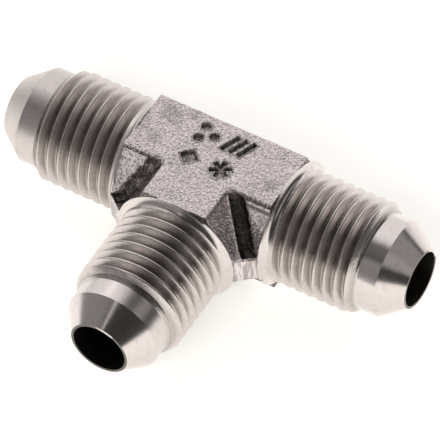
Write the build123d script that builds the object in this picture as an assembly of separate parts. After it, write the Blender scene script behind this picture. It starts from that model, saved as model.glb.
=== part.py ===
from build123d import *
import math
import os

# Flare tee fitting: one forged piece with three turned 37 degree flare ends.
# Frame: the run lies along X, the branch points to -Y, the forged flats face +Z and -Z.
# The origin is the point where the two bore axes cross. All sizes are millimetres.

# Thread: 1/2-20 UNF, external.
PITCH = 1.27
THREAD_D = 12.56
THREAD_TURNS = 7
THREAD_DEPTH = 0.613 * PITCH

# Forged body. Its section has a flat rim at the top, a drafted side and a flash land.
FLATS = 13.56
RIM_HALF = 3.85
RIM_HEIGHT = 0.50
RIM_CHAMFER = 0.15
RIM_CORNER_R = 0.60
DRAFT_DEG = 32.1
LAND_STEP = 0.35
LAND_HEIGHT = 3.60
RUN_BODY_END = 8.85
BRANCH_BODY_END = 8.55
VALLEY_R = 1.40
WEB_HOLLOW = 0.10

# Turned ends, measured outward from the end of the body.
SHANK_D = 14.00
SHANK_LAND = 0.10
SHANK_LENGTH = 0.85
END_CHAMFER_DEG = 45.0
NECK_CLEARANCE = 0.14
NOSE_LENGTH = 15.50
FLARE_DEG = 37.0

# Bores and the flat ring left at the mouth of each one.
BORE_D = 6.15
MOUTH_RING = 0.285
CUT_PAST = 1.00

# Sizes that follow from the ones above.
HALF_FLATS = FLATS / 2
DRAFT = math.tan(math.radians(DRAFT_DEG))
RIM_Z = HALF_FLATS - RIM_HEIGHT
LAND_Z = LAND_HEIGHT / 2
SIDE_FOOT = RIM_HALF + (RIM_Z - LAND_Z) * DRAFT
LAND_HALF = SIDE_FOOT + LAND_STEP
THREAD_R = THREAD_D / 2
THREAD_ROOT_R = THREAD_R - THREAD_DEPTH
NECK_R = THREAD_ROOT_R - NECK_CLEARANCE
MOUTH_R = BORE_D / 2 + MOUTH_RING
THREAD_END = SHANK_LENGTH + THREAD_TURNS * PITCH
NECK_START = THREAD_END + (THREAD_R - NECK_R) / math.tan(math.radians(END_CHAMFER_DEG))
FLARE_START = NOSE_LENGTH - (NECK_R - MOUTH_R) / math.tan(math.radians(FLARE_DEG))
RUN_END = RUN_BODY_END + NOSE_LENGTH
BRANCH_END = BRANCH_BODY_END + NOSE_LENGTH


def tee_outline(half_width):
    """Plan outline of the body: a bar along the run and a bar down the branch."""
    bar = Rectangle(2 * RUN_BODY_END, 2 * half_width)
    leg = Rectangle(2 * half_width, BRANCH_BODY_END, align=(Align.CENTER, Align.MAX))
    return bar + leg


def inner_corners(shape, half_width):
    """The upright edges or corner points where the branch leaves the run."""
    return [v for v in shape.vertices() if abs(abs(v.X) - half_width) < 1e-3 and abs(v.Y + half_width) < 1e-3]


def rim(side):
    """Flat rim on one forged face, its long edges broken by a small chamfer."""
    outline = tee_outline(RIM_HALF)
    outline = fillet(inner_corners(outline, RIM_HALF), RIM_CORNER_R)
    plate = extrude(outline, RIM_HEIGHT)
    top = plate.faces().sort_by(Axis.Z)[-1]
    soft = [e for e in top.edges() if not on_machined_end(e)]
    plate = chamfer(soft, RIM_CHAMFER)
    plate = Pos(0, 0, RIM_Z) * plate
    return plate if side > 0 else plate.mirror(Plane.XY)


def on_machined_end(edge):
    """True for an edge that lies in the end plane of an arm."""
    box = edge.bounding_box()
    at_run = box.size.X < 1e-3 and abs(abs(box.center().X) - RUN_BODY_END) < 1e-3
    at_branch = box.size.Y < 1e-3 and abs(box.center().Y + BRANCH_BODY_END) < 1e-3
    return at_run or at_branch


def side_section():
    """Section between the two rims: drafted sides that meet the flash land."""
    return Polygon(
        (RIM_HALF, RIM_Z),
        (SIDE_FOOT, LAND_Z),
        (SIDE_FOOT, -LAND_Z),
        (RIM_HALF, -RIM_Z),
        (-RIM_HALF, -RIM_Z),
        (-SIDE_FOOT, -LAND_Z),
        (-SIDE_FOOT, LAND_Z),
        (-RIM_HALF, RIM_Z),
        align=None,
    )


def drafted_arms():
    """The drafted bars of the run and the branch."""
    run = extrude(Plane.YZ * side_section(), RUN_BODY_END, both=True)
    branch = extrude(Plane.XZ * side_section(), BRANCH_BODY_END, dir=(0, -1, 0))
    return run + branch


def flash_land():
    """Trimmed land round the parting line, with a hollow web in each inner corner."""
    outline = tee_outline(LAND_HALF)
    for side in (1, -1):
        outline += corner_web(side)
    return extrude(outline, LAND_Z, both=True)


def corner_web(side):
    """Web that the trimmed flash leaves between the run end and the branch end."""
    run_tip = (side * RUN_BODY_END, -LAND_HALF)
    branch_tip = (side * LAND_HALF, -BRANCH_BODY_END)
    middle_x = (run_tip[0] + branch_tip[0]) / 2 - side * WEB_HOLLOW
    middle_y = (run_tip[1] + branch_tip[1]) / 2 + WEB_HOLLOW
    edge = ThreePointArc(run_tip, (middle_x, middle_y), branch_tip)
    inside = (side * RIM_HALF, -RIM_HALF)
    sides = Polyline(branch_tip, inside, run_tip)
    return make_face(edge + sides)


def valley_fillet(side, up):
    """Round fillet down the valley where two drafted sides meet."""
    run_normal = Vector(0, -1, up * DRAFT).normalized()
    branch_normal = Vector(side, 0, up * DRAFT).normalized()
    bisector = (run_normal + branch_normal).normalized()
    along = Vector(side * DRAFT, -DRAFT, -up).normalized()
    valley = Vector(side * RIM_HALF, -RIM_HALF, up * RIM_Z)
    centre = valley + bisector * (VALLEY_R / bisector.dot(run_normal))
    on_run = centre - run_normal * VALLEY_R
    on_branch = centre - branch_normal * VALLEY_R
    root = valley - bisector * VALLEY_R
    length = 2 * (RIM_Z - LAND_Z)
    start = -along * (length / 4)
    corners = [p + start for p in (root, on_run, centre, on_branch)]
    wedge = extrude(make_face(Polyline(*corners, close=True)), length, along)
    round_cut = Plane(centre + start, z_dir=along) * Cylinder(
        VALLEY_R, 3 * length, align=(Align.CENTER, Align.CENTER, Align.CENTER)
    )
    low, high = sorted((up * LAND_Z * 0.5, up * RIM_Z))
    band = Pos(0, 0, (low + high) / 2) * Box(4 * RUN_END, 4 * RUN_END, high - low)
    return (wedge - round_cut) & band


def turned_end(body_end):
    """Shank, thread envelope, end chamfer, neck and flare cone, turned round +Z."""
    shank_foot = (body_end + SHANK_LAND, SHANK_D / 2)
    thread_start = (body_end + SHANK_LENGTH, THREAD_R)
    hollow = (
        shank_foot[0] + 0.36 * (thread_start[0] - shank_foot[0]),
        thread_start[1] + 0.36 * (shank_foot[1] - thread_start[1]),
    )
    points = [
        thread_start,
        (body_end + THREAD_END, THREAD_R),
        (body_end + NECK_START, NECK_R),
        (body_end + FLARE_START, NECK_R),
        (body_end + NOSE_LENGTH, MOUTH_R),
        (body_end + NOSE_LENGTH, 0),
        (0, 0),
        (0, NECK_R),
        (body_end, NECK_R),
        (body_end, SHANK_D / 2),
        shank_foot,
    ]
    outer = Polyline(*[(r, a) for a, r in points])
    relief = ThreePointArc(*[(r, a) for a, r in (shank_foot, hollow, thread_start)])
    profile = Plane.XZ * make_face(outer + relief)
    return revolve(profile, Axis.Z, 360)


def bore(length):
    """A drilled bore from the centre outward along +Z."""
    return Cylinder(BORE_D / 2, length, align=(Align.CENTER, Align.CENTER, Align.MIN))


def tee_body():
    """The whole forging with its turned ends and crossed bores."""
    forging = drafted_arms() + flash_land() + rim(1) + rim(-1)
    for side in (1, -1):
        for up in (1, -1):
            forging += valley_fillet(side, up)
    right = Rot(0, 90, 0) * turned_end(RUN_BODY_END)
    left = Rot(0, -90, 0) * turned_end(RUN_BODY_END)
    branch = Rot(90, 0, 0) * turned_end(BRANCH_BODY_END)
    solid = forging + right + left + branch
    run_bore = Pos(-RUN_END - CUT_PAST, 0, 0) * Rot(0, 90, 0) * bore(2 * (RUN_END + CUT_PAST))
    branch_bore = Rot(90, 0, 0) * bore(BRANCH_END + CUT_PAST)
    return solid - run_bore - branch_bore


part = tee_body()
os.makedirs("parts", exist_ok=True)
export_step(part, "parts/tee_body.step")
box = part.bounding_box()
print("tee_body", len(part.solids()), "solid, volume", round(part.volume, 1), "mm3")
print("box", [round(v, 3) for v in (*box.min, *box.max)])
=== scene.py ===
# %% [markdown]
# A flare tee joins three tubes. Its middle is a steel forging that keeps the rough skin of the
# die and of the shot blasting. Its three ends are turned on a lathe: a shank, a fine thread, a
# neck and a cone of 37 degrees that the flared tube seats on. The contrast between the rough
# middle and the bright turned ends is what makes such a fitting recognisable, so this lesson
# makes the two kinds of surface in two different ways and then joins them into one solid.

# %% load the frame
import math

import bmesh
import bpy
from mathutils import Matrix, Vector, noise


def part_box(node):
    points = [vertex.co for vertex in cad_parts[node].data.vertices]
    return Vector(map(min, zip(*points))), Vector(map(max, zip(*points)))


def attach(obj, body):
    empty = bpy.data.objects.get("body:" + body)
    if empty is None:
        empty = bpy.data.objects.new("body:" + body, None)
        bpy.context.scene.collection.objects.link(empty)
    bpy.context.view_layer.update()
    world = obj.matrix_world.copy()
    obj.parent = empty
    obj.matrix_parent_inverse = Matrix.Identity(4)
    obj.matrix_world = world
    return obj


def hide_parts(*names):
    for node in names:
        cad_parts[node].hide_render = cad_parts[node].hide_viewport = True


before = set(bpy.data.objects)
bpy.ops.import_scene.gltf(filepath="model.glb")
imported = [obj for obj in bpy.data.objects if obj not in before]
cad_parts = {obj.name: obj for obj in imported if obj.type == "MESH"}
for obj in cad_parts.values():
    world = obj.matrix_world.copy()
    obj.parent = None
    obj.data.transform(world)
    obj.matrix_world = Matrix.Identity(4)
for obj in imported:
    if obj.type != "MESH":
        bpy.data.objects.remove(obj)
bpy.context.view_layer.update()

MM = 0.001
low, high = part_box("tee_body")
run_end = high.x / MM
branch_end = -low.y / MM
land_half = high.y / MM
shank_r = high.z / MM
print("frame: run", round(run_end, 3), "branch", round(branch_end, 3), "land", round(land_half, 3))

# %% [markdown]
# Everything is modelled with one Blender unit for one millimetre, because the voxel remesher
# does not go below a tenth of a thousandth of a unit, and the finished mesh is scaled to metres
# at the end. The sizes below are the ones that the fitting is made to: the forging's section,
# the places where the lathe stopped, and the thread, which has 20 turns to the inch.

# %% sizes in millimetres
run_body_end = 8.85
branch_body_end = 8.55
flat_z = 6.78
rim_half = 3.85
rim_z = 6.28
side_foot = 6.66
land_z = 1.80
rim_corner_r = 0.60
valley_r = 1.40
pitch = 1.27
crest_r = 6.28
neck_r = 5.361
mouth_r = 3.36
bore_r = 3.075
shank_land = 0.10
shank_length = 0.85
thread_end = 9.74
neck_start = 10.659
flare_start = 12.844
print("draft of the sides", round(math.degrees(math.atan((side_foot - rim_half) / (rim_z - land_z))), 1))

# %% [markdown]
# A mesh is a list of points and a list of faces. These helpers turn such lists into an object,
# pull a flat outline into a prism, and run a modifier and keep its result. The boolean uses the
# manifold solver, which is fast and needs closed meshes, so every part that goes in is closed.

# %% mesh helpers
scene = bpy.context.scene


def solid(name, points, faces):
    """An object of these points and faces."""
    mesh = bpy.data.meshes.new(name)
    mesh.from_pydata([tuple(p) for p in points], [], faces)
    mesh.validate()
    made = bpy.data.objects.new(name, mesh)
    scene.collection.objects.link(made)
    return made


def stack(rings, closed_ends=True):
    """Points and faces of a skin through rings of points that all have the same length."""
    count = len(rings[0])
    points = [p for ring in rings for p in ring]
    faces = []
    for k in range(len(rings) - 1):
        for i in range(count):
            j = (i + 1) % count
            faces.append((k * count + i, k * count + j, (k + 1) * count + j, (k + 1) * count + i))
    if closed_ends:
        faces.append(tuple(range(count))[::-1])
        last = (len(rings) - 1) * count
        faces.append(tuple(range(last, last + count)))
    return points, faces


def facing_out(made):
    """Turns all faces outward."""
    bpy.context.view_layer.update()
    work = bmesh.new()
    work.from_mesh(made.data)
    bmesh.ops.recalc_face_normals(work, faces=work.faces)
    if work.calc_volume(signed=True) < 0:
        bmesh.ops.reverse_faces(work, faces=work.faces)
    work.to_mesh(made.data)
    work.free()
    return made


def with_modifier(made, kind, **settings):
    """Runs one modifier and keeps its result as the object's mesh."""
    modifier = made.modifiers.new(kind.lower(), kind)
    for key, value in settings.items():
        setattr(modifier, key, value)
    graph = bpy.context.evaluated_depsgraph_get()
    result = bpy.data.meshes.new_from_object(made.evaluated_get(graph))
    made.modifiers.clear()
    made.data = result
    return made


def combine(made, other, operation):
    """A boolean of two closed solids. The second one is used up."""
    with_modifier(made, "BOOLEAN", operation=operation, object=other, solver="MANIFOLD")
    bpy.data.objects.remove(other)
    return made


def count_of(made):
    """Number of triangles in a mesh."""
    return sum(len(p.vertices) - 2 for p in made.data.polygons)


# %% [markdown]
# The forging's section has a flat rim on top, a side that leans out by the draft of the die, and
# a narrow upright band at mid height where the flash was trimmed off. One such bar lies along the
# run and one goes down the branch. They run on past the place where the lathe will cut them.

# %% forged bars
spare = 1.2
rim_bevel = 0.12
quarter = [
    (rim_half - rim_bevel, flat_z),
    (rim_half, flat_z - rim_bevel),
    (rim_half, rim_z),
    (side_foot, land_z),
    (land_half, land_z),
]
section = (
    quarter
    + [(y, -z) for y, z in quarter[::-1]]
    + [(-y, -z) for y, z in quarter]
    + [(-y, z) for y, z in quarter[::-1]]
)


def bar_along_run():
    """The bar from end to end of the run."""
    rings = [[(x, y, z) for y, z in section] for x in (-run_body_end - spare, run_body_end + spare)]
    return stack(rings)


def bar_down_branch():
    """The bar from the middle down the branch."""
    rings = [[(x, y, z) for x, z in section] for y in (0.0, -branch_body_end - spare)]
    return stack(rings)


lumps = [bar_along_run(), bar_down_branch()]
print("bars of", len(section), "corners")

# %% [markdown]
# Where two drafted sides meet they leave a slanting valley. A die never has a sharp valley, so a
# round fillet fills it. The fillet is a small prism with a hollow side. Its outline is drawn
# square to the valley line and then slid along that line to two level planes. Two level webs
# are left by the flash in the inner corners, and a small round sits between the two rims.

# %% valley fillets and webs
def arc(centre, start, end, steps):
    """Points from start to end round a centre, both given as vectors."""
    a, b = start - centre, end - centre
    angle = a.angle(b)
    return [
        centre + (a * math.sin(angle * (1 - k / steps)) + b * math.sin(angle * k / steps)) / math.sin(angle)
        for k in range(steps + 1)
    ]


def valley_lines(side, up):
    """Valley direction, its top point, and the two lines where the fillet meets the sides."""
    top = Vector((side * rim_half, -rim_half, up * rim_z))
    foot = Vector((side * side_foot, -side_foot, up * land_z))
    down = (foot - top).normalized()
    slope = Vector((side_foot - rim_half, 0, rim_z - land_z))
    leg_normal = Vector((side * slope.z, 0, up * slope.x)).normalized()
    run_normal = Vector((0, -slope.z, up * slope.x)).normalized()
    half_turn = leg_normal.angle(run_normal) / 2
    along_leg = leg_normal.cross(down).normalized()
    along_run = run_normal.cross(down).normalized()
    outward = (leg_normal + run_normal).normalized()
    if along_leg.dot(run_normal) < 0:
        along_leg.negate()
    if along_run.dot(leg_normal) < 0:
        along_run.negate()
    reach = valley_r * math.tan(half_turn)
    on_leg = top + along_leg * reach
    on_run = top + along_run * reach
    centre = top + outward * valley_r / math.cos(half_turn)
    return down, top, outward, on_leg, on_run, centre


def valley_fillet(side, up):
    """The fillet in one valley, between two level planes."""
    down, top, outward, on_leg, on_run, centre = valley_lines(side, up)
    outline = [top - outward * 0.5] + arc(centre, on_leg, on_run, 10)
    rings = []
    for level in (up * rim_z, up * land_z * 0.5):
        rings.append([tuple(p + down * ((level - p.z) / down.z)) for p in outline])
    return stack(rings)


def corner_web(side):
    """The level web that trimmed flash leaves in an inner corner."""
    a = Vector((run_body_end + spare, -land_half, 0))
    b = Vector((land_half, -branch_body_end - spare, 0))
    start = Vector((run_body_end, -land_half, 0))
    end = Vector((land_half, -branch_body_end, 0))
    corner = Vector((land_half, -land_half, 0))
    middle = (start + end) / 2
    inward = (corner - middle).normalized()
    hollow = middle + inward * 0.10
    curve = [start, (start + hollow) / 2 + inward * 0.05, hollow, (end + hollow) / 2 + inward * 0.05, end]
    outline = [Vector((0, 0, 0)), Vector((a.x, 0, 0)), a] + curve + [b, Vector((0, b.y, 0))]
    rings = [[(side * p.x, p.y, z) for p in outline] for z in (-land_z, land_z)]
    return stack(rings)


def rim_corner(side, up):
    """The small round between the two rims."""
    corner = Vector((rim_half, -rim_half, 0))
    centre = corner + Vector((rim_corner_r, -rim_corner_r, 0))
    curve = arc(centre, centre - Vector((rim_corner_r, 0, 0)), centre + Vector((0, rim_corner_r, 0)), 6)
    outline = [corner + Vector((-0.3, 0.3, 0))] + curve
    rings = [[(side * p.x, p.y, z) for p in outline] for z in (up * (rim_z - 0.3), up * (flat_z - 0.05))]
    return stack(rings)


for side in (1, -1):
    lumps.append(corner_web(side))
    for up in (1, -1):
        lumps.append(valley_fillet(side, up))
        lumps.append(rim_corner(side, up))
print(len(lumps), "lumps in the forging")

# %% [markdown]
# The top flat of the real fitting carries marks that were struck in cold with punches. Plain
# shapes that say nothing stand in their place here: a star of three bars, three slanting bars, a
# square and three dots. A painted mark would stay flat at a low angle and would be missing from
# the mesh, so each mark is a closed, tapered punch that is cut out of the skin later. Outlines
# run counterclockwise, so a few lines can grow one for the taper, or tell how far a place is from it.

# %% stamped marks
stamp_depth = 0.36
stroke = 0.62


def many_sided(x, y, radius, sides):
    """Corners of a regular outline with its middle at x, y."""
    turns = [2 * math.pi * k / sides for k in range(sides)]
    return [Vector((x + radius * math.cos(a), y + radius * math.sin(a))) for a in turns]


def bar_outline(x, y, length, width, turn):
    """Corners of a bar with its middle at x, y, turned from the run by this many degrees."""
    spin = Matrix.Rotation(math.radians(turn), 2)
    middle = Vector((x, y))
    corners = [(-1, -1), (1, -1), (1, 1), (-1, 1)]
    return [middle + spin @ Vector((a * length / 2, b * width / 2)) for a, b in corners]


def edge_normals(outline):
    """Outward directions of an outline's edges. The outline runs counterclockwise."""
    normals = []
    for a, b in zip(outline, outline[1:] + outline[:1]):
        along = (b - a).normalized()
        normals.append(Vector((along.y, -along.x)))
    return normals


def grown(outline, amount):
    """The outline with every edge moved outward by an amount."""
    normals = edge_normals(outline)
    corners = zip(outline, [normals[-1]] + normals[:-1], normals)
    return [p + (a + b) * amount / (1 + a.dot(b)) for p, a, b in corners]


def outside(outline, place):
    """Distance of a place outside an outline. It is negative inside."""
    return max((place - p).dot(n) for p, n in zip(outline, edge_normals(outline)))


marks = [bar_outline(1.80, -2.10, 2.45, stroke, turn) for turn in (30, 90, 150)]
marks += [bar_outline(1.90 + 0.98 * k, 1.45, 2.55, stroke, 68) for k in (-1, 0, 1)]
marks += [many_sided(-1.95, -2.15, 1.15, 4)]
ring = many_sided(-1.95, 1.40, 0.98, 3)
marks += [many_sided(p.x, p.y, 0.58, 12) for p in ring]


def punch(outline):
    """A tapered punch that enters the top flat."""
    levels = ((flat_z - stamp_depth, -0.20), (flat_z, 0.0), (flat_z + 0.3, 0.12))
    return stack([[(p.x, p.y, z) for p in grown(outline, grow)] for z, grow in levels])


print(len(marks), "strokes in the marks")

# %% [markdown]
# The remesher turns overlapping lumps into one even skin. It rounds every edge by about the size
# of a voxel, which is just what shot blasting does to a forging.

# %% one even skin
voxel = 0.125
parts = [facing_out(solid("lump", *lump)) for lump in lumps]
forging = parts[0]
for part in parts[1:]:
    combine(forging, part, "UNION")
print("forging before the skin", count_of(forging), "triangles")
with_modifier(forging, "REMESH", mode="VOXEL", voxel_size=voxel)
with_modifier(forging, "SMOOTH", factor=0.5, iterations=2)
print("skin", count_of(forging), "triangles")

# %% [markdown]
# The three ends are turned. Each starts as a smooth outline spun round its arm: a shank that
# hollows down to the thread, the crest, an end chamfer, the neck and the cone. The thread is one
# long strip of faces that follows the helix. It is one pitch wide, and each turn shares its edge
# points with the next, so there is no seam. Near the shank the groove fades out in half a turn,
# as it does where the threading tool is drawn back. The strip is wider than the outline at both
# ends, and what the two closed solids share is the finished end, cut off cleanly at the chamfer.

# %% turned ends
arms = {
    "right": (Vector((1, 0, 0)), run_body_end, run_end, 9.70),
    "left": (Vector((-1, 0, 0)), run_body_end, run_end, 9.85),
    "branch": (Vector((0, -1, 0)), branch_body_end, branch_end, 9.35),
}
segments = 108
up_axis = Vector((0, 0, 1))
overlap = 0.01
plug_r = 4.6
plug_depth = 3.0
hollow_power = 2.1


def on_arm(axis, along, radius, turn):
    """A point on an arm: distance outward, radius, and turn about the outward axis from the top."""
    side_axis = axis.cross(up_axis)
    angle = 2 * math.pi * turn
    return axis * along + (up_axis * math.cos(angle) + side_axis * math.sin(angle)) * radius


def envelope_profile(body_end, nose_end):
    """Outward distance and radius along the turned outline, from inside the body to the mouth."""
    relief_start = body_end + shank_land
    relief_end = body_end + shank_length
    crest_top = crest_r + overlap
    profile = [(body_end - plug_depth, plug_r), (body_end - overlap, plug_r), (body_end - overlap, shank_r)]
    profile.append((relief_start, shank_r))
    for k in range(1, 7):
        share = k / 6
        along = relief_start + (relief_end - relief_start) * share
        profile.append((along, crest_top + (shank_r - crest_top) * (1 - share) ** hollow_power))
    profile.append((body_end + thread_end - overlap, crest_top))
    profile.append((body_end + neck_start, neck_r))
    profile.append((body_end + flare_start, neck_r))
    profile.append((nose_end, mouth_r))
    return profile


def relief_radius(along, body_end):
    """Radius of the turned outline near the shank."""
    start = body_end + shank_land
    end = body_end + shank_length
    share = min(max((along - start) / (end - start), 0.0), 1.0)
    return crest_r + (shank_r - crest_r) * (1 - share) ** hollow_power


def envelope(axis, body_end, nose_end):
    """The turned outline as a closed solid, with no thread yet."""
    rings = []
    for along, radius in envelope_profile(body_end, nose_end):
        rings.append([on_arm(axis, along, radius, i / segments) for i in range(segments)])
    return facing_out(solid("outline", *stack(rings)))


half_pitch = pitch / 2
flank = math.tan(math.radians(30))
root_half = 0.20
crest_half = pitch / 16
flank_foot = crest_r - (half_pitch - crest_half) / flank
root_floor = flank_foot + root_half / flank / 2
print("thread root radius", round(root_floor, 3), "crest", crest_r)


def groove_radius(distance, lift):
    """Radius of a groove of 60 degrees at a distance from its middle, with a round root."""
    d = abs(distance)
    if d < root_half:
        return root_floor + lift + d * d / (2 * root_half * flank)
    return flank_foot + lift + d / flank


def soft_min(a, b, width):
    """The lower of two values, with a round of this width where they cross."""
    h = max(width - abs(a - b), 0.0) / width
    return min(a, b) - h * h * width / 4


offsets = [-half_pitch, -0.575, -0.548, -0.52, -0.20, -0.11, 0.0, 0.11, 0.20, 0.52, 0.548, 0.575]


def threaded_rod(axis, body_end, crest_at_top):
    """A rod whose skin follows the thread. Its ends are wider than the turned outline."""
    first = body_end + 0.62
    lead = (first - crest_at_top - half_pitch) / pitch
    first_column = round(lead * segments)
    columns = int(segments * ((neck_start + 0.4 - 0.62) / pitch)) + 1
    rows = len(offsets)
    pull_out = 0.45

    def lift_at(turns):
        share = min(max(turns / pull_out, 0.0), 1.0)
        return 1.3 * (1 - share * share * (3 - 2 * share))

    def groove_middle(column):
        return crest_at_top + half_pitch + pitch * (first_column + column) / segments

    def radius_at(column, offset):
        along = groove_middle(column) + offset
        cap = relief_radius(along, body_end) + (0.06 if along < body_end + shank_length - 0.05 else 0.0)
        radius = groove_radius(offset, lift_at(column / segments))
        inner = column - segments
        if inner >= 0:
            radius = min(radius, groove_radius(offset + pitch, lift_at(inner / segments)))
        outer = column + segments
        radius = min(radius, groove_radius(offset - pitch, lift_at(outer / segments)))
        return soft_min(radius, cap, 0.03)

    points, index = [], {}

    def point(key, along, radius, turn):
        index[key] = len(points)
        points.append(on_arm(axis, along, radius, turn))

    for column in range(columns + 1):
        turn = (first_column + column) / segments
        for row, offset in enumerate(offsets):
            point((column, row), groove_middle(column) + offset, radius_at(column, offset), turn)
    for column in range(columns - segments + 1, columns + 1):
        turn = (first_column + column) / segments
        point((column, rows), groove_middle(column) + half_pitch, radius_at(column, half_pitch), turn)
    shelf = body_end - 0.4
    steps = 8
    for column in range(segments):
        turn = (first_column + column) / segments
        reach = groove_middle(column) - half_pitch - shelf
        for step in range(1, steps):
            offset = -half_pitch - reach * (1 - step / steps)
            point(("in", column, step), groove_middle(column) + offset, radius_at(column, offset), turn)

    def at(column, row):
        if row == rows and (column, row) not in index:
            return index[(column + segments, 0)]
        return index[(column, row)]

    faces = []
    for column in range(columns):
        for row in range(rows):
            near, far = (column, row), (column + 1, row)
            faces.append((at(*near), at(*far), at(column + 1, row + 1), at(column, row + 1)))

    for name, along in (("in0", body_end - 3.5), ("in1", shelf)):
        for i in range(segments):
            point((name, i), along, 7.4, (first_column + i) / segments)
    for i in range(segments):
        j = (i + 1) % segments
        faces.append((index[("in0", i)], index[("in0", j)], index[("in1", j)], index[("in1", i)]))

    def entry(column):
        return [index[("in1", column)]] + [index[("in", column, k)] for k in range(1, steps)] + [at(column, 0)]

    for i in range(segments - 1):
        near, far = entry(i), entry(i + 1)
        for k in range(steps):
            faces.append((near[k], far[k], far[k + 1], near[k + 1]))
    seam = entry(0) + [at(0, row) for row in range(1, rows + 1)]
    faces.append(tuple(seam + entry(segments - 1)[::-1]))
    faces.append(tuple(index[("in0", i)] for i in range(segments))[::-1])

    last = columns
    begin = last - segments
    for name, along in (("out0", body_end + neck_start + 1.9), ("out1", body_end + 16.5)):
        for i in range(segments):
            point((name, i), along, 6.4, (first_column + begin + i) / segments)
    for i in range(segments):
        j = (i + 1) % segments
        faces.append((index[("out0", i)], index[("out0", j)], index[("out1", j)], index[("out1", i)]))
    for i in range(1, segments):
        a, b = begin + i, begin + i + 1
        faces.append((at(a, rows), at(b, rows), index[("out0", (i + 1) % segments)], index[("out0", i)]))
    seam = [index[("out0", 1)], index[("out0", 0)]]
    seam += [at(last, row) for row in range(rows, -1, -1)]
    seam += [at(begin + 1, rows)]
    faces.append(tuple(seam))
    faces.append(tuple(index[("out1", i)] for i in range(segments)))
    return solid("rod", points, faces)


turned = {}
for name, (axis, body_end, nose_end, crest_at_top) in arms.items():
    rod = threaded_rod(axis, body_end, crest_at_top)
    facing_out(rod)
    end = envelope(axis, body_end, nose_end)
    combine(end, rod, "INTERSECT")
    turned[name] = end
    print(name, "end", count_of(end), "triangles")

# %% [markdown]
# A forging is never smooth. The die leaves low hills a few millimetres wide, and the shot leaves
# dimples of a few tenths. Both are moved into the mesh along its normals, so they also show on
# the outline, which a bump texture can't do. The same pass hollows the trough down each valley,
# raises the ragged beads that squeezed out along the die, sinks the crease under the right rim,
# and pushes up a fine burr round each mark. The punches go in last.

# %% hammered skin
def hills(place, size, seed):
    """Smooth noise between about -1 and 1 with hills of this size in millimetres."""
    return noise.noise(place / size + Vector((seed, 3.1 * seed, 7.7 * seed)))


def share_of(value, start, end):
    """0 at start, 1 at end, straight between."""
    return min(max((value - start) / (end - start), 0.0), 1.0)


trough_start = -0.32
trough_end = 1.85
trough_depth = 0.34
crease_z = rim_z - 0.55
down, top, outward, on_leg, on_run, centre = valley_lines(1, 1)
ridge_middle = -0.52
ridge_foot = arc(centre, on_leg, on_run, 20)[6] - outward * 0.02
beads = [(ridge_foot + down * 0.15, down, 5.5, 0.15, 0.20)]
for side in (1, -1):
    foot = Vector((side * (rim_half + 1.6), -rim_half - 0.14, rim_z - 0.12))
    beads.append((foot, Vector((side, 0, 0)), run_body_end - rim_half - 1.6, 0.20, 0.17))


def bead_height(place):
    """Height of the ragged beads that the die left along three lines."""
    height = 0.0
    for start, along, length, width, rise in beads:
        away = place - start
        reach = away.dot(along)
        distance = (away - along * reach).length
        if distance < 3 * width and 0 < reach < length:
            ragged = max(0.6 + 1.1 * hills(place, 0.40, 5.0), 0.0)
            height += ragged * rise * math.exp(-((distance / width) ** 2))
    return height


def trough_drop(place, normal):
    """Depth of the rounded trough that runs down each valley, on the run's side of it."""
    depth = rim_z - abs(place.z)
    if place.y > -rim_half or depth < -0.05 or normal.z * place.z < 1.0:
        return 0.0
    share = share_of(abs(place.x) + place.y, trough_start, trough_end)
    fade = share_of(depth, -0.05, 0.4)
    return trough_depth * fade * math.sin(math.pi * share) ** 0.7


def crease_drop(place):
    """Depth of the crease under the run's front rim, on the right."""
    if place.y > -rim_half or place.x + place.y < trough_end - 0.3:
        return 0.0
    return 0.07 * math.exp(-(((abs(place.z) - crease_z) / 0.10) ** 2))


def burr_height(place):
    """Height of the metal that the punches pushed up round the marks."""
    if place.z < flat_z - 0.1 or abs(place.x) > rim_half or abs(place.y) > rim_half:
        return 0.0
    flat = Vector((place.x, place.y))
    away = min(outside(outline, flat) for outline in marks)
    share = min(max(1 - away / 0.22, 0.0), 1.0)
    return 0.05 * share * share


mesh = forging.data
lifts = []
normals = [v.normal.copy() for v in mesh.vertices]
for vertex, normal in zip(mesh.vertices, normals):
    place = vertex.co.copy()
    rough = 1.0 if abs(normal.z) > 0.9 else 1.8
    lift = 0.026 * hills(place, 2.6, 1.0) + 0.024 * hills(place, 0.9, 2.0)
    lift += rough * (0.016 * hills(place, 0.42, 3.0) + 0.008 * hills(place, 0.24, 4.0))
    lift += bead_height(place) + burr_height(place)
    lift -= trough_drop(place, normal) + crease_drop(place)
    lifts.append(lift)
    place += normal * lift
    place.y = min(place.y, land_half)
    vertex.co = place
mesh.update()
print("skin moved by", round(min(lifts), 3), "to", round(max(lifts), 3), "mm")
for outline in marks:
    combine(forging, facing_out(solid("punch", *punch(outline))), "DIFFERENCE")
print("stamped skin", count_of(forging), "triangles")

# %% [markdown]
# The lathe cuts the forging off square at three places, so a box trims it there and the turned
# ends are joined to the cut faces. The bores are drilled last and right through, as they are in
# the shop, which leaves true sharp edges at the mouths and where the two drills cross.

# %% one solid
cut = solid("cut", *stack([
    [(x, y, z) for x, y in ((-run_body_end, -branch_body_end), (run_body_end, -branch_body_end),
                            (run_body_end, land_half + 3), (-run_body_end, land_half + 3))]
    for z in (-9, 9)
]))
combine(forging, facing_out(cut), "INTERSECT")
for name, end in turned.items():
    combine(forging, end, "UNION")
print("with the ends", count_of(forging), "triangles")


def drill(axis, start, stop):
    """A drill from start to stop along an axis."""
    rings = [[on_arm(axis, along, bore_r, i / 96) for i in range(96)] for along in (start, stop)]
    return facing_out(solid("drill", *stack(rings)))


combine(forging, drill(arms["right"][0], -run_end - 1, run_end + 1), "DIFFERENCE")
combine(forging, drill(arms["branch"][0], 0, branch_end + 1), "DIFFERENCE")
print("tee", count_of(forging), "triangles")

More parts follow.
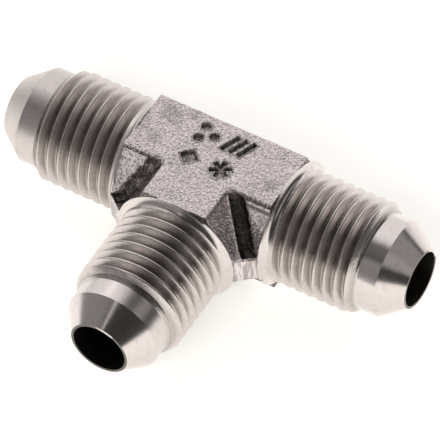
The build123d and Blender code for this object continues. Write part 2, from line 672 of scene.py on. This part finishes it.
# %% [markdown]
# The forging carries an attribute named scale that holds painted shade and painted highlights.
# Above 0 it is painted shade: in the troughs, in the creases, on the walls under the rims and low
# on the sides, where shade falls. Below 0 it is a painted highlight on bare metal: on the ridge, the
# lip, the strip under the rim, the pocket facets and the rims of the marks. Most patches on the top
# flat are dark scale. Where it lies follows the shape, so it is worked out for each point from the
# sizes that made the shape. It is kept on the mesh as an attribute, which the shader reads.

# %% painted shade and highlights, and patches of scale
patches = [  # x, y, radius and amount of scale
    (-6.4, 2.0, 1.2, 0.30),
    # This patch paints the shade on the rounded rim edge by the left pocket.
    (-6.5, -1.7, 0.9, 0.25),
    (7.4, -1.5, 1.0, 0.25),
    (-4.4, 3.2, 0.8, 0.20),
]
mark_rim = 0.13
ridge_half = 0.17
strip_height = 0.45
lip_height = 0.30
lip_crease = 0.46


def painted_light_on(place, normal):
    """Painted shade at a place of the skin, from 0 to 1, or a painted highlight below 0 where the metal is
    bare. The patches on the top add scale.
    """
    ragged = 0.3 * hills(place, 0.5, 8.0)
    if place.z > flat_z - 0.12:
        rim = min(outside(outline, Vector((place.x, place.y))) for outline in marks)
        # A painted highlight on the rims round the marks.
        if -0.02 < rim < mark_rim:
            return -0.8
        spots = [
            amount * share_of(math.hypot(place.x - x, place.y - y) / radius + 2 * ragged, 1.3, 0.5)
            for x, y, radius, amount in patches
        ]
        return max(spots)
    depth = rim_z - abs(place.z)
    if place.y > -rim_half + 0.05 or place.y < -branch_body_end:
        return 0.0
    right_side = place.x > 0
    from_valley = abs(place.x) + place.y
    # A painted shadow on the wall just under the rim.
    if depth < 0.02:
        return 0.65 if from_valley > 0.3 else 0.2
    # On the band at mid height: a painted highlight on the lip, and a painted shade in the crease above it.
    if normal.z * place.z < 0.9 and depth > rim_z - land_z - 0.1:
        below_edge = land_z - abs(place.z) - 0.5 * ragged
        if place.z < 0 or not -2 < from_valley < 3 or below_edge > lip_crease:
            return 0.0
        if below_edge < lip_height:
            return -0.9 if right_side else 0.3
        return 0.8 if right_side else 0.0
    # A painted shade in the trough down each valley.
    trough = share_of(from_valley + ragged, trough_start - 0.15, trough_start + 0.1)
    trough *= share_of(from_valley + ragged, trough_end + 0.15, trough_end - 0.15)
    # A painted highlight along the ridge on the right.
    if right_side and abs(from_valley - ridge_middle) < ridge_half and ragged > -0.13:
        return -1.0
    mottle = 0.0 if right_side else 0.25 * hills(place, 0.9, 11.0)
    if from_valley < trough_start:
        return max(0.95 * trough, -0.15 if right_side else 0.6 + mottle)
    # Painted shade in the crease and low on the right side; a painted highlight on bare metal on the strip
    # under the rim and the pocket facets.
    crease = 0.8 * math.exp(-(((abs(place.z) - crease_z) / 0.13) ** 2)) if right_side else 0.0
    low_down = share_of(depth + ragged, 1.0, 3.0) if right_side else 0.0
    bare_and_highlight = (1.0 if depth < strip_height else 0.70 if right_side else 0.85) * (1 - low_down)
    painted_shade_left = max((0.93 if right_side else 0.75 + mottle) * trough, crease, 0.5 * low_down)
    return painted_shade_left - bare_and_highlight * (1 - trough) * (1 - crease)


# The attribute named scale carries the painted shade and painted highlights, and the patches of scale.
scale = forging.data.attributes.new("scale", "FLOAT", "POINT")
scale.data.foreach_set("value", [painted_light_on(v.co, v.normal) for v in forging.data.vertices])
print("patches of scale", len(patches))

# %% [markdown]
# The finished mesh goes to metres, takes the place of the frame's solid and rides on its body.
# Edges sharper than 32 degrees stay crisp, and the rest are shaded smooth.

# %% to metres
tee = forging
tee.name = "flare_tee"
tee.data.name = "flare_tee"
tee.data.transform(Matrix.Scale(MM, 4))
tee.data.shade_smooth()
tee.data.set_sharp_from_angle(angle=math.radians(32))
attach(tee, "root")
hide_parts("tee_body")
print("flare_tee reaches", round(max(v.co.x for v in tee.data.vertices) / MM, 2), "mm to the right")

# %% [markdown]
# A node tree is hard to read when each node takes three lines of code. Wire wraps an output, so a
# sum of wires can be written as a Python sum, and Bench makes any other node in one call.

# %% shader helpers
class Wire:
    """A node's output that can be used in sums."""

    def __init__(self, bench, socket):
        self.bench = bench
        self.socket = socket

    def _with(self, other, operation, swapped=False):
        first, second = (other, self) if swapped else (self, other)
        kinds = {w.socket.type for w in (self, other) if isinstance(w, Wire)}
        if "RGBA" in kinds:
            settings = {"data_type": "RGBA", "blend_type": operation, "clamp_factor": False}
            return self.bench.node("Mix", settings, {0: 1.0, 6: first, 7: second}, out=2)
        if "VECTOR" in kinds:
            return self.bench.node("VectorMath", {"operation": operation}, {0: first, 1: second})
        return self.bench.node("Math", {"operation": operation}, {0: first, 1: second})

    def __add__(self, other):
        return self._with(other, "ADD")

    def __radd__(self, other):
        return self._with(other, "ADD", True)

    def __sub__(self, other):
        return self._with(other, "SUBTRACT")

    def __rsub__(self, other):
        return self._with(other, "SUBTRACT", True)

    def __mul__(self, other):
        return self._with(other, "MULTIPLY")

    def __rmul__(self, other):
        return self._with(other, "MULTIPLY", True)

    def __truediv__(self, other):
        return self._with(other, "DIVIDE")

    def maths(self, operation, other=0.0):
        """Any other Math operation on a value."""
        return self.bench.node("Math", {"operation": operation}, {0: self, 1: other})

    def step(self, start, end):
        """0 below start, 1 above end, smooth between."""
        settings = {"interpolation_type": "SMOOTHSTEP"}
        flip = start > end
        low, high = (end, start) if flip else (start, end)
        value = self.bench.node("MapRange", settings, {0: self, 1: low, 2: high, 3: 0.0, 4: 1.0})
        return 1 - value if flip else value


class Bench:
    """A node tree to work at."""

    def __init__(self, tree):
        self.tree = tree

    def node(self, kind, settings=None, sockets=None, out=0):
        """Makes a node: its settings first, then its sockets' values or links."""
        made = self.tree.nodes.new("ShaderNode" + kind)
        for key, value in (settings or {}).items():
            setattr(made, key, value)
        for key, value in (sockets or {}).items():
            if isinstance(value, Wire):
                self.tree.links.new(value.socket, made.inputs[key])
            elif made.inputs[key].type == "RGBA" and isinstance(value, (int, float)):
                made.inputs[key].default_value = (value, value, value, 1.0)
            elif made.inputs[key].type == "RGBA" and len(value) == 3:
                made.inputs[key].default_value = (*value, 1.0)
            elif made.inputs[key].type == "VECTOR" and isinstance(value, (int, float)):
                made.inputs[key].default_value = (value, value, value)
            else:
                made.inputs[key].default_value = value
        return Wire(self, made.outputs[out])

    def noise(self, place, scale, detail=2.0, rough=0.5):
        """Soft noise between 0 and 1."""
        sockets = {"Vector": place, "Scale": scale, "Detail": detail, "Roughness": rough}
        return self.node("TexNoise", None, sockets)

    def blend(self, share, first, second):
        """first where share is 0, second where it is 1."""
        return self.node("Mix", {"data_type": "RGBA"}, {0: share, 6: first, 7: second}, out=2)

    def parts(self, vector):
        """The three values of a vector."""
        split = self.node("SeparateXYZ", None, {0: vector})
        return [Wire(self, split.socket.node.outputs[k]) for k in range(3)]

    def join(self, x, y, z):
        """A vector of three values."""
        return self.node("CombineXYZ", None, {0: x, 1: y, 2: z})


def finish(name):
    """A new material with its workbench, its main shader and the place in millimetres."""
    material = bpy.data.materials.new(name)
    material.use_nodes = True
    tree = material.node_tree
    tree.nodes.clear()
    bench = Bench(tree)
    shader = bench.node("BsdfPrincipled")
    tree.links.new(shader.socket, tree.nodes.new("ShaderNodeOutputMaterial").inputs[0])
    place = bench.node("TexCoord", None, None, out="Object") * (1 / MM)
    return material, bench, shader.socket.node, place


def feed(bench, shader, **sockets):
    """Links or sets the main shader's sockets."""
    for key, value in sockets.items():
        socket = shader.inputs[key.replace("_", " ")]
        if isinstance(value, Wire):
            bench.tree.links.new(value.socket, socket)
        else:
            socket.default_value = (*value, 1.0) if isinstance(value, tuple) else value


# %% [markdown]
# Blasted steel shows its surroundings, broken up by its dimples. A coarse and a fine noise drive
# the bump, and the hollows of the coarse one are darker. The trimmed band at mid height has
# upright tear marks from the shear. Freshly bared metal is so finely torn that it scatters light
# like a matt surface, so its metallic share is lowered and a front light makes it sparkle. The
# attribute paints shade as a dark colour, and highlights on bare metal as a lighter colour.

# %% forged skin
def forged_skin(name, stamped=0.0):
    """Shot blasted steel with painted shade, painted highlights and dark scale."""
    material, bench, shader, place = finish(name)
    grit = bench.noise(place, 3.4, 2.0, 0.65)
    fine = bench.noise(place, 8.5, 2.0, 0.6)
    cloud = bench.noise(place, 0.55, 3.0, 0.55)
    scale = bench.node("Attribute", {"attribute_name": "scale"}, None, out="Fac")
    # Painted shade and scale from the attribute; stamped adds more painted shade for the floors of the marks
    # and the cut faces.
    scale_and_painted_shade = scale.maths("MAXIMUM", 0.0) + stamped
    bare_and_highlight = (0 - scale).maths("MAXIMUM", 0.0)
    x, y, z = bench.parts(place)
    trimmed = z.maths("ABSOLUTE").step(land_z + 0.05, land_z - 0.15)
    torn = bench.noise(bench.join(x * 3.2, y * 3.2, z * 0.4), 1.0, 2.0, 0.6)
    speck = grit.step(0.60, 0.34) * (0.37 + 0.40 * bare_and_highlight) * (1 - 0.8 * trimmed)
    share = scale_and_painted_shade + cloud.step(0.54, 0.72) * 0.15 + speck + torn.step(0.36, 0.58) * trimmed * 0.50
    # The lighter colour is a painted highlight on bare metal; the dark colour is painted shade and scale.
    colour = bench.blend(bare_and_highlight, (0.77, 0.69, 0.685), (1.0, 0.93, 0.92))
    colour = bench.blend(share.maths("MINIMUM", 1.0), colour, (0.095, 0.080, 0.076))
    rough = 0.12 + 0.08 * fine + scale_and_painted_shade * 0.15 + bare_and_highlight * 0.10
    height = grit * (0.200 + 0.34 * bare_and_highlight - 0.14 * trimmed) + fine * (0.035 + 0.05 * bare_and_highlight)
    height = height + torn * trimmed * 0.10
    bump = bench.node("Bump", None, {"Strength": 1.0, "Distance": MM, "Height": height})
    feed(bench, shader, Base_Color=colour, Metallic=1 - 0.75 * bare_and_highlight, Roughness=rough, Normal=bump)
    return material


# %% [markdown]
# Turned metal has fine marks that run round the arm, so the noise is read along the arm and along
# the radius, and hardly at all by the angle. The thread is duller than the cone, its roots are
# painted darker as a painted shade in the grooves, and the left arm has been stained and rubbed,
# so its marks are softer.

# %% turned metal
def turned_metal():
    """Metal off the lathe, duller on the thread, with painted shade in its roots."""
    material, bench, shader, place = finish("turned_metal")
    x, y, z = bench.parts(place)
    on_branch = y.step(-branch_body_end + 0.02, -branch_body_end)
    along = on_branch * (0 - y) + (1 - on_branch) * x
    across = on_branch * x + (1 - on_branch) * y
    radius = (across * across + z * z).maths("SQRT")
    angle = z.maths("ARCTAN2", across)
    outward = along.maths("ABSOLUTE") - on_branch * branch_body_end - (1 - on_branch) * run_body_end
    left_arm = along.step(-run_body_end, -run_body_end - 0.6) * (1 - on_branch)
    thread = outward.step(0.6, 0.9) * outward.step(neck_start + 0.1, neck_start - 0.2)
    neck = outward.step(neck_start - 0.1, neck_start + 0.1)
    neck = neck * outward.step(flare_start + 0.1, flare_start - 0.1)
    marks = bench.noise(bench.join(along * 9.0, radius * 9.0, angle * 0.8), 1.6, 4.0, 0.65)
    broad = bench.noise(bench.join(along * 1.2, radius * 1.2, angle * 1.5), 1.0, 2.0, 0.5)
    stain = bench.noise(place, 1.4, 4.0, 0.6)
    speck = bench.noise(place, 6.0, 2.0, 0.6)
    # Painted shade in the roots of the thread.
    root = thread * radius.step(crest_r - 0.15, crest_r - 0.75)
    share = stain.step(0.5, 0.8) * 0.30 + thread * 0.10 + root * 0.42 + left_arm * (1 - thread) * 0.10
    colour = bench.blend(share.maths("MINIMUM", 1.0), (0.655, 0.60, 0.58), (0.27, 0.245, 0.22))
    rough = 0.13 + 0.07 * marks + 0.05 * broad + thread * 0.06
    rough = rough + left_arm * (0.20 - 0.13 * thread) + neck * on_branch * 0.10
    height = marks * 0.0022 + stain * (0.004 + left_arm * 0.006) + (thread + left_arm * 0.6) * speck * 0.016
    bump = bench.node("Bump", None, {"Strength": 1.0, "Distance": MM, "Height": height})
    feed(bench, shader, Base_Color=colour, Metallic=1.0, Roughness=rough, Normal=bump)
    return material


# %% [markdown]
# The bores are rough from the drill, and little light gets in, so their colour is painted nearly black, a
# painted shade.
# The last finish is the forged skin with painted shade added, for the floors of the marks and for
# the faces that the lathe cut across, where shade falls. Each face then takes the finish of the place where it
# lies.

# %% drilled bore, painted dark
def bore_painted_dark():
    """Inside of the bores, dull, with a painted shade as its colour."""
    material, bench, shader, place = finish("bore_painted_dark")
    rings = bench.noise(place, 2.0, 3.0, 0.6)
    colour = bench.blend(rings, (0.20, 0.18, 0.16), (0.12, 0.11, 0.10))
    bump = bench.node("Bump", None, {"Strength": 1.0, "Distance": MM, "Height": rings * 0.01})
    feed(bench, shader, Base_Color=colour, Metallic=1.0, Roughness=0.35 + 0.1 * rings, Normal=bump)
    return material


# The last finish adds painted shade for the floors of the marks and the faces cut across.
finishes = [forged_skin("forged_skin"), turned_metal(), bore_painted_dark(), forged_skin("painted_shade_skin", 0.55)]
tee.data.materials.clear()
for material in finishes:
    tee.data.materials.append(material)
cut_gap = 0.004
bore_gap = 0.02


def finish_of(face):
    """Place of a face's finish in the list: 0 forged, 1 turned, 2 bored, 3 forged with painted shade."""
    x, y, z = face.center / MM
    in_branch_bore = y < 0 and math.hypot(x, z) < bore_r + bore_gap
    if in_branch_bore or math.hypot(y, z) < bore_r + bore_gap:
        return 2
    if abs(x) > run_body_end + cut_gap or y < -branch_body_end - cut_gap:
        return 1
    cut_across = abs(face.normal.x) > 0.9 and abs(x) > run_body_end - cut_gap
    cut_across = cut_across or (face.normal.y < -0.9 and y < -branch_body_end + cut_gap)
    if cut_across and abs(z) > land_z + 0.3:
        return 3
    by_marks = flat_z - stamp_depth - 0.1 < z < flat_z and abs(x) < rim_half and abs(y) < rim_half
    if by_marks and min(outside(outline, Vector((x, y))) for outline in marks) < -0.01:
        return 3
    return 0


counts = [0] * len(finishes)
for face in tee.data.polygons:
    face.material_index = finish_of(face)
    counts[face.material_index] += 1
print("faces forged, turned, bored, scaled", counts)

# %% [markdown]
# The floor is pale paper that runs out to white. It glows a little for the camera and for mirror
# rays only, so the metal sees the bright paper that it stands on while the shadow stays. Far off
# to the left the paper ends, and there its glow fades.

# %% floor
def floor_finish():
    """Pale paper that glows for the camera and in mirrors."""
    material, bench, shader, place = finish("pale_floor")
    path = bench.node("LightPath")
    sees = path.socket.node.outputs
    x, y, z = bench.parts(place)
    far_left = x.step(-60.0, -160.0)
    mirrored = Wire(bench, sees["Is Glossy Ray"]) + Wire(bench, sees["Is Transmission Ray"])
    seen = Wire(bench, sees["Is Camera Ray"]) * 0.70 + mirrored * (0.85 - 0.64 * far_left)
    glow = bench.blend(seen.maths("MINIMUM", 1.0), (0.0, 0.0, 0.0), (1.0, 0.985, 0.94))
    feed(bench, shader, Base_Color=(0.82, 0.81, 0.79), Roughness=0.9)
    feed(bench, shader, Emission_Color=glow, Emission_Strength=0.80)
    return material


reach = 2.5
corners = [(-reach, -reach, low.z), (reach, -reach, low.z), (reach, reach, low.z), (-reach, reach, low.z)]
floor = solid("floor", corners, [(0, 1, 2, 3)])
floor.data.materials.append(floor_finish())
print("floor at", round(low.z / MM, 2), "mm")

# %% [markdown]
# Curved metal shows a picture of the whole room, so the room is built first: a dim base, a large
# bright cloth behind and to the left that is brighter at the back, and a few soft screens. Each
# screen is named for where it stands. The lamps light only what scatters light, because they are
# hidden from mirror rays.

# %% light
world = bpy.data.worlds.new("studio")
scene.world = world
world.use_nodes = True
world.node_tree.nodes.clear()
bench = Bench(world.node_tree)
direction = bench.node("TexCoord", None, None, out="Generated")


def towards(turn, rise):
    """A unit vector from its turn round the fitting and its rise above the floor, in degrees."""
    a, e = math.radians(turn), math.radians(rise)
    return Vector((math.cos(a) * math.cos(e), math.sin(a) * math.cos(e), math.sin(e)))


def facing(axis):
    """How far the looked-at direction points along an axis."""
    x, y, z = bench.parts(direction)
    return x * axis.x + y * axis.y + z * axis.z


def screen(turn, rise, half_width, half_height, edge=0.04):
    """A flat screen seen in a direction: 1 inside it, 0 outside."""
    middle = towards(turn, rise)
    side = Vector((-math.sin(math.radians(turn)), math.cos(math.radians(turn)), 0))
    depth = facing(middle)
    front = depth.step(0.02, 0.06)
    depth = depth.maths("MAXIMUM", 0.05)
    across = (facing(side) / depth).maths("ABSOLUTE")
    along = (facing(middle.cross(side)) / depth).maths("ABSOLUTE")
    in_width = across.step(half_width + edge, half_width - edge)
    in_height = along.step(half_height + edge, half_height - edge)
    return in_width * in_height * front


cloth = facing(Vector((-0.785, 0.570, -0.244))).step(-0.03, 0.14)
back_side = facing(Vector((0.414, 0.888, 0.20))).step(-0.10, 0.08)
front_side = facing(Vector((0.1, -1.0, 0.0)).normalized()).step(0.12, 0.25)
radiance = 0.05 + cloth * (1 - front_side) * (0.48 + 0.54 * back_side)
screens = {
    "front_left": (screen(229, 26, 0.62, 0.42), 0.24),
    "high_left": (screen(220, 64, 0.30, 0.14), 0.10),
    "right": (screen(14, 37, 0.75, 0.22), 0.30),
    "front_right": (screen(-14, 33, 0.20, 0.16), 0.10),
    "back_left": (screen(147, 48, 0.20, 0.10), 0.9),
    "low_front": (screen(262, 3, 0.60, 0.08), 0.25),
    "front_slit": (screen(259, 50, 0.035, 0.25, 0.015), 1.0),
    "left_gap": (screen(174, 3, 0.20, 0.10), -0.25),
}
for seen, level in screens.values():
    radiance = radiance + seen * level
background = bench.node("Background", None, {"Color": (1.0, 0.985, 0.99), "Strength": radiance})
world.node_tree.links.new(background.socket, world.node_tree.nodes.new("ShaderNodeOutputWorld").inputs[0])


def lamp(name, direction, distance, size, power):
    """A square soft box that faces the fitting from a direction. Mirrors don't show it."""
    data = bpy.data.lights.new(name, "AREA")
    data.size = size
    data.energy = power
    made = bpy.data.objects.new(name, data)
    made.location = direction * distance
    made.rotation_euler = direction.to_track_quat("Z", "Y").to_euler()
    made.visible_glossy = False
    scene.collection.objects.link(made)


lamp("overhead_box", towards(120, 70), 0.9, 1.0, 0.6)
lamp("front_box", towards(-80, 35), 0.9, 0.5, 5.5)
print(len(screens), "screens, 2 lamps")

# %% [markdown]
# The camera stands where the photographer's did, to the right and in front, and looks down at
# about 50 degrees. Its place, its turn and its lens were worked out from the ellipses of the
# three mouths and from the thread ends, which are circles of known size.

# %% camera
camera_place = Vector((0.21245291, -0.33389517, 0.47598989))
camera_right = Vector((0.86139994, 0.50714298, -0.02821602))
camera_down = Vector((0.37642380, -0.67469280, -0.63489743))
camera_ahead = camera_right.cross(camera_down)
camera_data = bpy.data.cameras.new("camera")
camera_data.sensor_width = 36.0
camera_data.lens = 482.488
camera_data.clip_start = 0.05
camera_data.clip_end = 20.0
camera = bpy.data.objects.new("camera", camera_data)
scene.collection.objects.link(camera)
turn = Matrix((camera_right, -camera_down, -camera_ahead)).transposed()
camera.matrix_world = Matrix.Translation(camera_place) @ turn.to_4x4()
scene.camera = camera
scene.view_settings.view_transform = "Standard"
print("camera is", round(camera_place.length / MM), "mm from the middle of the tee")
